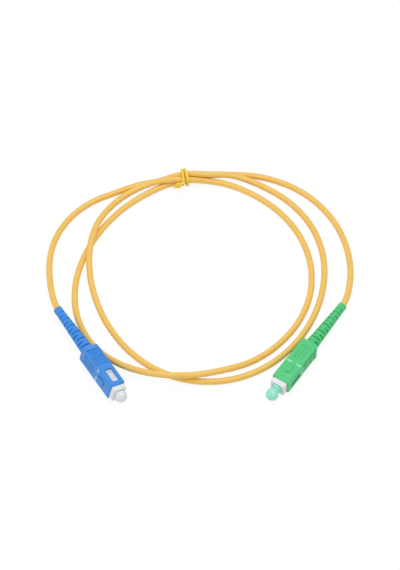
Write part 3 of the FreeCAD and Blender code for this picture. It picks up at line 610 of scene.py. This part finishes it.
def boot_tree():
    """Rings, webs and a thin liner, taken to the boot's taper."""
    tree, given = new_tree("segmented_boot", BOOT_INPUTS)
    position = result_of(tree, "GeometryNodeInputPosition")
    spot = add_node(tree, "ShaderNodeSeparateXYZ", {"Vector": position}).outputs
    value = {name: given[name] for name in BOOT_INPUTS}
    value["row"] = result_of(tree, "GeometryNodeInputIndex")
    value["x"], value["y"] = spot["X"], spot["Y"]
    value["outer"] = ranged(tree, spot["Z"], given["Tail"], given["Nose"], start=given["Plain Tail"],
                            end=given["Taper"])
    for name, operation, first, second in BOOT_SUMS:
        value[name] = maths(tree, operation, value.get(first, first), value.get(second, second))

    def vector(**parts):
        return result_of(tree, "ShaderNodeCombineXYZ", parts)

    def joined(parts):
        join = add_node(tree, "GeometryNodeJoinGeometry")
        for part in parts:
            tree.links.new(part, join.inputs["Geometry"])
        return join.outputs["Geometry"]

    def wall(width, thickness=1.0):
        """Cross-section of a ring: its width along the boot, and its share of the wall."""
        box = result_of(tree, "GeometryNodeCurvePrimitiveQuadrilateral",
                        {"Width": thickness, "Height": width})
        return result_of(tree, "GeometryNodeFilletCurve",
                         {"Curve": box, "Radius": PROFILE_ROUND, "Limit Radius": True,
                          "Count": PROFILE_STEPS}, mode="POLY")

    def ring(low, high, thickness=1.0):
        """Ring from one distance to another along the boot, with its share of the wall."""
        middle = maths(tree, "MULTIPLY", maths(tree, "ADD", low, high), 0.5)
        circle = result_of(tree, "GeometryNodeCurvePrimitiveCircle",
                           {"Radius": 1 + thickness / 2, "Resolution": RING_STEPS})
        profile = wall(maths(tree, "SUBTRACT", high, low), thickness)
        body = result_of(tree, "GeometryNodeCurveToMesh", {"Curve": circle, "Profile Curve": profile})
        return result_of(tree, "GeometryNodeTransform",
                         {"Geometry": body, "Translation": vector(Z=middle)})

    def web(start):
        """Web that bridges a slot, from an angle on."""
        arc = result_of(tree, "GeometryNodeCurveArc",
                        {"Resolution": WEB_STEPS, "Radius": WALL_MIDDLE, "Start Angle": start,
                         "Sweep Angle": value["Web Angle"]})
        return result_of(tree, "GeometryNodeCurveToMesh",
                         {"Curve": arc, "Profile Curve": wall(value["web width"]), "Fill Caps": True})

    def repeated(piece, count, start, **turn):
        """Copies of a piece, a pitch apart from a start along the boot."""
        line = result_of(tree, "GeometryNodeMeshLine",
                         {"Count": count, "Start Location": vector(Z=start),
                          "Offset": vector(Z=value["Pitch"])})
        return result_of(tree, "GeometryNodeInstanceOnPoints",
                         {"Points": line, "Instance": piece, **turn})

    turned = result_of(tree, "FunctionNodeEulerToRotation", {"Euler": vector(Z=value["row turn"])})
    pair = joined([web(value["near web"]), web(value["far web"])])
    whole = joined([
        ring(0.0, value["Plain Tail"]),
        ring(value["nose start"], value["Length"]),
        ring(value["liner start"], value["liner end"], LINER_SHARE),
        repeated(ring(0.0, value["ring width"]), value["gaps"], value["ring start"]),
        repeated(pair, value["Rows"], value["web place"], Rotation=turned),
    ])
    solid = result_of(tree, "GeometryNodeRealizeInstances", {"Geometry": whole})
    place = vector(X=value["tapered x"], Y=value["tapered y"], Z=spot["Z"])
    tapered = result_of(tree, "GeometryNodeSetPosition", {"Geometry": solid, "Position": place})
    smooth = result_of(tree, "GeometryNodeSetShadeSmooth", {"Geometry": tapered})
    dressed = result_of(tree, "GeometryNodeSetMaterial",
                        {"Geometry": smooth, "Material": value["Material"]})
    add_node(tree, "NodeGroupOutput", {"Geometry": dressed})
    return tree


class PATCHCORD_OT_boots(bpy.types.Operator):
    """Make the two segmented strain-relief boots from one tree of rings and webs"""

    bl_idname = "patch_cord.make_boots"
    bl_label = "Make Boots"

    def execute(self, context):
        sizes = settings("patch_boot")
        tree = boot_tree()
        along_axis = Matrix.Translation((-BOOT_END, 0.0, 0.0)) @ Matrix.Rotation(pi / 2, 4, "Y")
        for end in ENDS:
            material = finish_of("soft_elastomer_" + SHADE[end])
            values = {"Rows": sizes.rows, "Material": material}
            for label in BOOT_SIZES:
                values[label] = getattr(sizes, label.lower().replace(" ", "_"))
            seed = new_object("boot_seed_" + end, bpy.data.meshes.new("boot_seed_" + end))
            place = lying_place(end) @ along_axis
            boot = baked("strain_relief_" + end, seed, tree, values, place, material)
            place_piece(boot, MAIN_BODY, ["boot_" + end])
        return {"FINISHED"}


# Dust caps
ROUND_STEPS = 64
SMALL_ROUND = 0.3 * MM
RIM_STEPS = 5
WAIST_STEPS = 4
BALL_STEPS = 22
BALL_BLEND = 4.0


def cap_profile(sizes, reach):
    """Outline of a cap from its open end over the barrel, waist and ball, and back down the bore."""
    back = reach - sizes.length
    barrel_end = back + sizes.barrel
    touch = sqrt(sizes.ball_radius ** 2 - sizes.neck_radius ** 2)
    neck_start = reach - touch - SMALL_ROUND
    bore_end = back + sizes.bore_depth
    ball_from = 180.0 - atan2(sizes.neck_radius, touch) * 180 / pi - BALL_BLEND
    rim = sizes.barrel_radius - SMALL_ROUND
    waist = sizes.neck_radius + SMALL_ROUND
    profile = [(back, sizes.bore_radius)]
    profile += corner_arc((back + SMALL_ROUND, rim), SMALL_ROUND, 180, 90, RIM_STEPS)
    profile += corner_arc((barrel_end - SMALL_ROUND, rim), SMALL_ROUND, 90, 0, RIM_STEPS)
    profile += corner_arc((barrel_end + SMALL_ROUND, waist), SMALL_ROUND, 180, 270, WAIST_STEPS)
    if neck_start > barrel_end + SMALL_ROUND:
        profile.append((neck_start, sizes.neck_radius))
    profile += corner_arc((reach, 0.0), sizes.ball_radius, ball_from, 0, BALL_STEPS)
    profile[-1] = (reach + sizes.ball_radius, 0.0)
    profile += [(bore_end, 0.0), (bore_end, sizes.bore_radius)]
    return profile


class PATCHCORD_OT_caps(bpy.types.Operator):
    """Turn the two soft dust caps"""

    bl_idname = "patch_cord.make_caps"
    bl_label = "Make Dust Caps"

    def execute(self, context):
        sizes = settings("patch_cap")
        looks = {"a": ("polyethylene_milky", "cap_milky", sizes.reach_a),
                 "b": ("polyethylene_green", "cap_green", sizes.reach_b)}
        for end, (material, slot, reach) in looks.items():
            cap = revolved("cap_" + end, cap_profile(sizes, reach), ROUND_STEPS, lying_place(end),
                           finish_of(material))
            place_piece(cap, "cap_body_" + end, ["dust_cap_" + end])
        return {"FINISHED"}


# Printed depth marks on the key face of each grip
MARK_AHEAD = -11.2 * MM
MARK_SPANS = ((-3.6 * MM, -0.9 * MM), (1.3 * MM, 3.9 * MM))
MARK_HEIGHT = 3.7 * MM
MARK_FILM = 0.03 * MM


class PATCHCORD_OT_marks(bpy.types.Operator):
    """Print the two bars across the key face of each grip"""

    bl_idname = "patch_cord.make_marks"
    bl_label = "Print Depth Marks"

    def execute(self, context):
        width = settings("patch_grip").mark_width
        for end in ENDS:
            film = bmesh.new()
            for low, high in MARK_SPANS:
                middle = Vector((MARK_AHEAD, (low + high) / 2, MARK_HEIGHT + MARK_FILM / 2))
                scale = Matrix.Diagonal((width, high - low, 2 * MARK_FILM, 1.0))
                bmesh.ops.create_cube(film, size=1.0, matrix=Matrix.Translation(middle) @ scale)
            bmesh.ops.bevel(film, geom=film.edges[:], offset=MARK_FILM / 2, segments=2, affect="EDGES")
            marks = shell_piece("depth_marks_" + end, film, lying_place(end),
                                finish_of("printed_ink_" + SHADE[end]), smooth=False)
            place_piece(marks, "grip_body_" + end)
        return {"FINISHED"}


# The tie, in millimetres and degrees: a coated wire that goes twice round the bundle, crosses itself
# behind it, and has its two ends twisted together in front. Angles go round the bundle, from the far
# side over the top to the near side.
TIE_CORE_SHOWS = 0.5
TIE_HEIGHT = 4.85
TIE_STEPS = 48
WIRE_ROUND_STEPS = 5
WIRE_ALONG_STEPS = 6
# The three strands lie a third of a turn apart, and one lies at this angle where the tie holds them
STRANDS_APART = 120.0
STRAND_AT_TIE = 38.0
# Where the wire lies along the bundle, by the angle that it has gone round: its first winding on the
# left, its second on the right, and the second over the first behind the bundle
TIE_WANDER = [(155.0, -1.4), (40.0, -1.3), (15.0, -1.15), (-48.0, 0.3), (-134.0, 0.75), (-205.0, 0.7),
              (-320.0, 0.15), (-345.0, 0.35), (-408.0, -1.2), (-521.0, -2.2)]
TIE_SLACK = 0.5
SLACK_ANGLE = -134.0
SLACK_SPAN = 36.0
TWIST_ANGLE = 165.0
TWIST_REACH = 4.6
TWIST_BACK = 2.0
TWIST_TIP = Vector((-12.05, 56.4, 4.4))
TWIST_RADIUS = 0.76
TWIST_STARTS = (90.0, 270.0)
TWIST_STEP = 60.0
TWIST_STEPS = 4


def hugging_reach(angle):
    """Distance from the middle of the bundle to a wire that lies tight on its three strands."""
    tie = settings("patch_tie")
    strand = STRAND_PITCH / sqrt(3)
    hug = (settings("patch_cord").diameter / 2 + tie.diameter / 2 + tie.gap) / MM
    half = STRANDS_APART / 2
    off = abs((angle - STRAND_AT_TIE + half) % STRANDS_APART - half)
    if off > half / 2:
        return (strand * cos(radians(half)) + hug) / cos(radians(half - off))
    return strand * cos(radians(off)) + sqrt(hug ** 2 - (strand * sin(radians(off))) ** 2)


def wandered(angle):
    """How far along the bundle the wire lies at an angle."""
    for (before, near), (after, far) in zip(TIE_WANDER, TIE_WANDER[1:]):
        if angle >= after:
            return near + (far - near) * (before - angle) / (before - after)
    return TIE_WANDER[-1][1]


def twisted_end(root, start):
    """Points of one end of the tie along the twist, from its root to its tip."""
    way = (TWIST_TIP - root).normalized()
    side = way.cross(Vector((0.0, 0.0, 1.0))).normalized()
    rise = side.cross(way)
    points = []
    for k in range(TWIST_STEPS + 1):
        angle = radians(start + TWIST_STEP * k)
        middle = root.lerp(TWIST_TIP, k / TWIST_STEPS)
        points.append(middle + TWIST_RADIUS * (cos(angle) * side + sin(angle) * rise))
    return points


def tie_route():
    """Points of the tie's wire from tip to tip, in millimetres."""
    along = Vector((cos(BUNDLE_HEADING), sin(BUNDLE_HEADING), 0.0))
    across = Vector((-sin(BUNDLE_HEADING), cos(BUNDLE_HEADING), 0.0))
    middle = Vector((*TIE_MIDDLE, TIE_HEIGHT))
    thickness = settings("patch_tie").diameter / MM

    def outward(angle):
        return across * cos(radians(angle)) + Vector((0.0, 0.0, sin(radians(angle))))

    wound = []
    first, last = TIE_WANDER[0][0], TIE_WANDER[-1][0]
    for k in range(TIE_STEPS + 1):
        angle = first + (last - first) * k / TIE_STEPS
        slack = TIE_SLACK * max(0.0, 1 - abs(angle - SLACK_ANGLE) / SLACK_SPAN)
        shift = wandered(angle)
        gap = shift - wandered(angle + 360) if angle + 360 <= first else thickness
        over = sqrt(max(0.0, thickness ** 2 - gap ** 2))
        wound.append(middle + along * shift + outward(angle) * (hugging_reach(angle) + slack + over))
    root = middle - along * TWIST_BACK + outward(TWIST_ANGLE) * TWIST_REACH
    first_end, second_end = [twisted_end(root, start) for start in TWIST_STARTS]
    return first_end[::-1] + wound + second_end


def wire_piece(name, points, diameter, material):
    """Round wire along a smooth curve, as a plain mesh."""
    line = [point * MM for point in points]
    wire = smooth_curve(name + "_line", line, diameter / 2, WIRE_ROUND_STEPS, WIRE_ALONG_STEPS, material)
    mesh = settled_mesh(wire)
    bpy.data.objects.remove(wire)
    return mesh_piece(name, mesh, material)


class PATCHCORD_OT_tie(bpy.types.Operator):
    """Wind the tie round the bundle, with the steel core that shows at its cut ends"""

    bl_idname = "patch_cord.make_tie"
    bl_label = "Make Tie"

    def execute(self, context):
        sizes = settings("patch_tie")
        points = tie_route()
        coat = wire_piece("wire_tie", points, sizes.diameter, finish_of("coated_wire_pvc"))
        place_piece(coat, MAIN_BODY, ["twist_tie"])
        for tip, inner in ((0, 1), (-1, -2)):
            points[tip] = points[tip] + (points[tip] - points[inner]).normalized() * TIE_CORE_SHOWS
        core = wire_piece("tie_core", points, sizes.core, finish_of("soft_iron_tie_wire"))
        place_piece(core, MAIN_BODY, ["tie_wire"])
        return {"FINISHED"}


# Grips, with the rounded edges that the mould gives their front face. A cutter stands this little
# proud of the side that it meets, so that no two faces lie in one plane.
GRIP_HALF_WIDTH = 4.5 * MM
GRIP_HALF_HEIGHT = 3.7 * MM
CORNER_STEPS = 8
CUTTER_PROUD = 0.01 * MM
CUTTER_SPARE = 1 * MM
CUTTER_HALF_LENGTH = 10 * MM
SHARP_ANGLE = radians(28.0)
SEAM_GAP = 0.003 * MM


def merged_copy(name, node, material):
    """Piece that has a modelled node's mesh as one connected and smooth surface."""
    shell = bmesh.new()
    shell.from_mesh(frame["nodes"][node].data)
    bmesh.ops.remove_doubles(shell, verts=shell.verts, dist=ONE_POINT)
    return shell_piece(name, shell, Matrix(), material)


def corner_cutter(half, place, material):
    """Bar that takes one edge of a grip's front face off to a round, at half a width from the axis."""
    radius = settings("patch_grip").corner_round
    edge = half + CUTTER_PROUD
    outside = edge + CUTTER_SPARE
    profile = [(CUTTER_SPARE, edge - radius), (CUTTER_SPARE, outside), (-radius, outside)]
    profile += corner_arc((-radius, edge - radius), radius, 90, 0, CORNER_STEPS)
    bar = bmesh.new()
    ends = [[bar.verts.new((x, y, side)) for x, y in profile]
            for side in (-CUTTER_HALF_LENGTH, CUTTER_HALF_LENGTH)]
    count = len(profile)
    for near in range(count):
        far = (near + 1) % count
        bar.faces.new((ends[0][near], ends[0][far], ends[1][far], ends[1][near]))
    bar.faces.new(ends[0])
    bar.faces.new(ends[1])
    bmesh.ops.recalc_face_normals(bar, faces=bar.faces)
    return shell_piece("corner_cutter", bar, place, material)


def settle_modifiers(piece):
    """Keep what the piece's modifiers make as its own mesh."""
    mesh = settled_mesh(piece)
    piece.modifiers.clear()
    piece.data = mesh


def close_seams(mesh):
    """Merge the points that a cut leaves a few thousandths of a millimetre apart."""
    shell = bmesh.new()
    shell.from_mesh(mesh)
    bmesh.ops.remove_doubles(shell, verts=shell.verts, dist=SEAM_GAP)
    bmesh.ops.dissolve_degenerate(shell, edges=shell.edges, dist=SEAM_GAP)
    shell.to_mesh(mesh)
    shell.free()


class PATCHCORD_OT_grips(bpy.types.Operator):
    """Round the edges of the front face of the two sliding grips"""

    bl_idname = "patch_cord.make_grips"
    bl_label = "Round Grips"

    def execute(self, context):
        edges = ((GRIP_HALF_WIDTH, 0.0), (GRIP_HALF_WIDTH, pi), (GRIP_HALF_HEIGHT, pi / 2),
                 (GRIP_HALF_HEIGHT, -pi / 2))
        for end in ENDS:
            node = "grip_" + end
            material = finish_of("moulded_pbt_" + SHADE[end])
            grip = merged_copy("latch_" + node, node, material)
            cutters = [corner_cutter(half, lying_place(end) @ Matrix.Rotation(turn, 4, "X"), material)
                       for half, turn in edges]
            for cutter in cutters:
                cut = grip.modifiers.new(cutter.name, "BOOLEAN")
                cut.operation = "DIFFERENCE"
                cut.object = cutter
            settle_modifiers(grip)
            for cutter in cutters:
                bpy.data.objects.remove(cutter)
            close_seams(grip.data)
            grip.data.set_sharp_from_angle(angle=SHARP_ANGLE)
            grip.modifiers.new("even_flats", "WEIGHTED_NORMAL").keep_sharp = True
            settle_modifiers(grip)
            place_piece(grip, "grip_body_" + end, [node])
        return {"FINISHED"}


class PATCHCORD_OT_springs(bpy.types.Operator):
    """Let each spring shorten between its ferrule's flange and the back post"""
    # """Give each spring a smooth, merged copy of its modelled mesh, finished as spring wire"""

    bl_idname = "patch_cord.make_springs"
    bl_label = "Make Springs"

    def execute(self, context):
        for end in ENDS:
            node = "spring_" + end
            spring = merged_copy("return_" + node, node, finish_of("stainless_spring_wire"))
            place_piece(spring, MAIN_BODY, [node])
            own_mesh(spring)
        return {"FINISHED"}


# Finishes of the modelled pieces that stay as they are
NODE_FINISHES = {
    "plug_frame_": "moulded_pbt_white", "ferrule_flange_": "nickel_plated_brass",
    "ferrule_": "polished_zirconia", "back_post_": "nickel_plated_brass",
    "crimp_sleeve_": "annealed_crimp_sleeve",
}


class PATCHCORD_OT_finishes(bpy.types.Operator):
    """Make every material, and finish the pieces that keep their modelled shape"""

    bl_idname = "patch_cord.make_finishes"
    bl_label = "Apply Finishes"

    def execute(self, context):
        make_finishes()
        for name, node in frame["nodes"].items():
            matches = [prefix for prefix in NODE_FINISHES if name.startswith(prefix)]
            if matches:
                node.data.materials.clear()
                node.data.materials.append(finish_of(NODE_FINISHES[max(matches, key=len)]))
        return {"FINISHED"}


# Stage and camera
TARGET = Vector((0.0, 1.2 * MM, 0.0))
CAMERA_DISTANCE = 950 * MM
CAMERA_ELEVATION = radians(54.0)
CAMERA_REACH = 20.0
PIXELS_PER_MM = 2.14
PHOTO_HEIGHT = 570
SENSOR = 36.0
FLOOR_SIZE = 3.0
FLOOR_GLOW = 1.05
OVERHEAD_PLACE = Vector((0.05, 0.05, 0.55))
OVERHEAD_SIZE = 0.5
SIDE_PLACE = Vector((-0.45, -0.25, 0.4))
SIDE_SIZE = 0.3
WHITE = (1.0, 1.0, 1.0, 1.0)


def add_lamp(name, place, size, power):
    """Round soft lamp that shines on the middle of the object."""
    lamp = bpy.data.lights.new(name, "AREA")
    lamp.shape = "DISK"
    lamp.size = size
    lamp.energy = power
    rig = new_object(name, lamp)
    rig.location = place
    rig.rotation_mode = "QUATERNION"
    rig.rotation_quaternion = (place - TARGET).to_track_quat("Z", "Y")


class PATCHCORD_OT_stage(bpy.types.Operator):
    """Set up the camera, the white floor and the soft light"""

    bl_idname = "patch_cord.make_stage"
    bl_label = "Set Up Stage"

    def execute(self, context):
        stage = settings("patch_stage")
        scene = context.scene
        scene.view_settings.view_transform = "Standard"
        camera = bpy.data.cameras.new("photo_camera")
        camera.sensor_width = SENSOR
        camera.lens = PIXELS_PER_MM / MM * CAMERA_DISTANCE * SENSOR / PHOTO_HEIGHT
        camera.clip_end = CAMERA_REACH
        viewer = new_object("photo_camera", camera)
        toward = Vector((0.0, -cos(CAMERA_ELEVATION), sin(CAMERA_ELEVATION)))
        viewer.location = TARGET + CAMERA_DISTANCE * toward
        viewer.rotation_euler = (pi / 2 - CAMERA_ELEVATION, 0.0, 0.0)
        scene.camera = viewer

        floor_mesh = bpy.data.meshes.new("white_floor")
        half = FLOOR_SIZE / 2
        corners = [(-half, -half, 0), (half, -half, 0), (half, half, 0), (-half, half, 0)]
        floor_mesh.from_pydata(corners, [], [(0, 1, 2, 3)])
        floor = mesh_piece("white_floor", floor_mesh, self.floor_finish(stage.shadow_share))
        world = bpy.data.worlds.new("white_room")
        scene.world = world
        tree = emptied(world)
        seen = self.seen_directly(tree)
        level = ranged(tree, seen, stage.world_light, 1.0)
        light = result_of(tree, "ShaderNodeBackground", {"Color": WHITE, "Strength": level})
        add_node(tree, "ShaderNodeOutputWorld", {"Surface": light})
        add_lamp("overhead_light", OVERHEAD_PLACE, OVERHEAD_SIZE, stage.overhead)
        add_lamp("side_light", SIDE_PLACE, SIDE_SIZE, stage.side)
        return {"FINISHED"}

    def seen_directly(self, tree):
        """1 for camera, glossy and transmission rays, and 0 for the light that falls on the object."""
        path = add_node(tree, "ShaderNodeLightPath").outputs
        total = path["Is Camera Ray"]
        for ray in ("Is Glossy Ray", "Is Transmission Ray"):
            total = maths(tree, "MAXIMUM", total, path[ray])
        return total

    def floor_finish(self, shadow_share):
        """Matte white board, mostly seen as plain white so that only a faint shadow shows."""
        material = bpy.data.materials.new("matte_white_board")
        tree = emptied(material)
        board = result_of(tree, "ShaderNodeBsdfDiffuse", {"Color": with_alpha(srgb("F8F8F8"))})
        glow = result_of(tree, "ShaderNodeEmission", {"Color": WHITE, "Strength": FLOOR_GLOW})
        share = maths(tree, "MULTIPLY", self.seen_directly(tree), 1.0 - shadow_share)
        mix = result_of(tree, "ShaderNodeMixShader", {"Fac": share, 1: board, 2: glow})
        add_node(tree, "ShaderNodeOutputMaterial", {"Surface": mix})
        return material


STEPS = (PATCHCORD_OT_finishes, PATCHCORD_OT_stage, PATCHCORD_OT_cord, PATCHCORD_OT_boots,
         PATCHCORD_OT_caps, PATCHCORD_OT_marks, PATCHCORD_OT_tie, PATCHCORD_OT_grips,
         PATCHCORD_OT_springs)


class PATCHCORD_PT_panel(bpy.types.Panel):
    """Lists the settings and the steps that dress the patch cord"""

    bl_idname = "PATCHCORD_PT_panel"
    bl_label = "Patch Cord"
    bl_space_type = "VIEW_3D"
    bl_region_type = "UI"
    bl_category = "Patch Cord"

    def draw(self, context):
        for name, group in SETTINGS.items():
            box = self.layout.box()
            box.label(text=name.replace("_", " ").title())
            for setting in group.__annotations__:
                box.prop(getattr(context.scene, name), setting)
        for step in STEPS:
            self.layout.operator(step.bl_idname)


CLASSES = (*SETTINGS.values(), *STEPS, PATCHCORD_PT_panel)


def register():
    for cls in CLASSES:
        bpy.utils.register_class(cls)
    for name, group in SETTINGS.items():
        setattr(bpy.types.Scene, name, PointerProperty(type=group))


def unregister():
    for name in SETTINGS:
        delattr(bpy.types.Scene, name)
    for cls in reversed(CLASSES):
        bpy.utils.unregister_class(cls)


def main():
    register()
    for step in STEPS:
        group, name = step.bl_idname.split(".")
        getattr(getattr(bpy.ops, group), name)()
    declare_cord()


if __name__ == "__main__":
    main()
